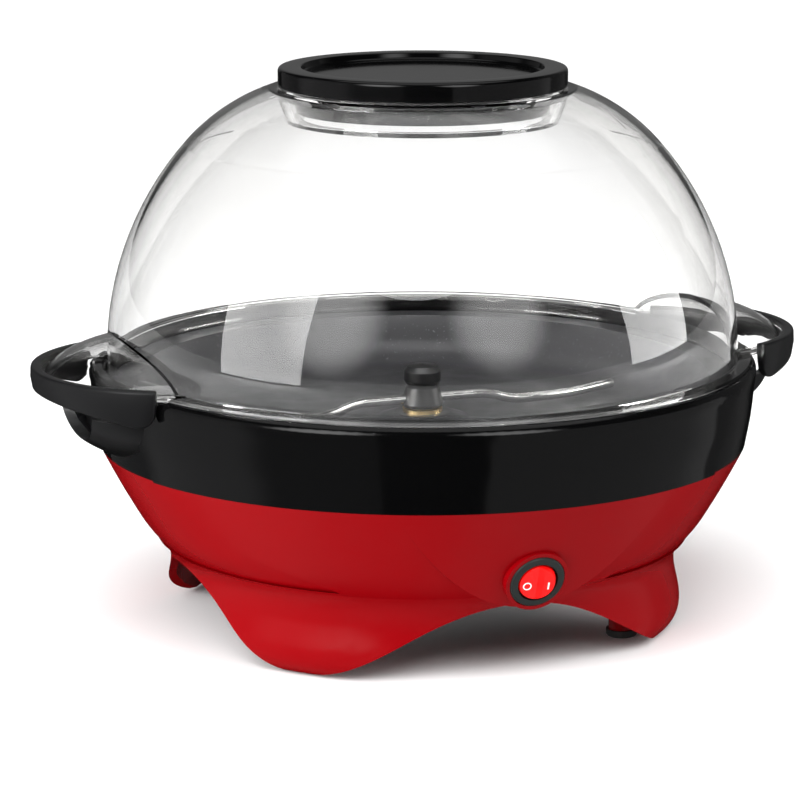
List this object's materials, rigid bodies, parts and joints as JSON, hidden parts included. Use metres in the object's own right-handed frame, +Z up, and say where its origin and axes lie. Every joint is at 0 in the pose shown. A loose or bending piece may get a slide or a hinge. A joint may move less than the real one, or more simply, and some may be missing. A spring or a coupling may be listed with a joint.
{
  "type": "popcorn maker",
  "caption": "Electric stirring popcorn maker: red petal-footed base with rocker switch, black collar and grips, clear dome that doubles as a bowl, black dome cap.",
  "frame": {"origin": "bottom centre of the machine, on the surface that its rubber feet stand on", "axes": "+Z up, the switch faces -Y, the two handles are at +X and -X"},
  "size_m": [0.339, 0.2862, 0.236],
  "materials": {
    "red_gloss_plastic": "high gloss moulded",
    "black_gloss_plastic": "high gloss moulded",
    "black_satin_plastic": "satin moulded",
    "clear_plastic": "clear polished",
    "switch_red": "gloss, slightly translucent",
    "non_stick_coating": "dark non-stick coated",
    "bright_steel": "drawn",
    "zinc_steel": "zinc plated",
    "seal_silicone": "matt",
    "foot_rubber": "matt",
    "contact_brass": "tinned",
    "wire_insulation": "glass-sleeved"
  },
  "bodies": {
    "base": {"base_shell": "red_gloss_plastic", "collar": "black_gloss_plastic", "right_side_grip": "black_satin_plastic", "left_side_grip": "black_satin_plastic", "rubber_feet": "foot_rubber", "bottom_cover": "black_satin_plastic", "cover_screws": "zinc_steel", "heating_plate": "non_stick_coating", "plate_seal": "seal_silicone", "heating_element": "bright_steel", "heat_shield": "zinc_steel", "shield_screws": "zinc_steel", "motor": "zinc_steel", "gearbox": "zinc_steel", "motor_bracket": "zinc_steel", "bracket_screws": "zinc_steel", "thermostat": "bright_steel", "thermal_fuse": "bright_steel", "terminal_block": "wire_insulation", "cord_gland": "black_satin_plastic", "internal_wires": "wire_insulation", "switch_body": "black_satin_plastic", "switch_terminals": "contact_brass", "shaft_bush": "contact_brass"},
    "stirrer": {"drive_shaft": "bright_steel", "stirrer_hub": "black_satin_plastic", "stirring_rod": "bright_steel", "stirrer_cap": "black_satin_plastic"},
    "switch_rocker": {"rocker": "switch_red"},
    "dome": {"dome_shell": "clear_plastic", "right_dome_handle": "black_satin_plastic", "left_dome_handle": "black_satin_plastic"},
    "lid": {"lid_cap": "black_gloss_plastic"}
  },
  "joints": [
    {"name": "stirrer_spin", "type": "hinge", "parent": "base", "child": "stirrer", "pos_m": [0, 0, 0.09], "axis": [0, 0, 1], "continuous": true},
    {"name": "rocker_tilt", "type": "hinge", "parent": "base", "child": "switch_rocker", "pos_m": [0, -0.12366, 0.04634], "axis": [0, -0.342, 0.9397], "range_deg": [0, 14]},
    {"name": "dome_lift", "type": "slide", "parent": "base", "child": "dome", "axis": [0, 0, 1], "range_m": [0, 0.15]},
    {"name": "lid_lift", "type": "slide", "parent": "dome", "child": "lid", "axis": [0, 0, 1], "range_m": [0, 0.06]}
  ]
}
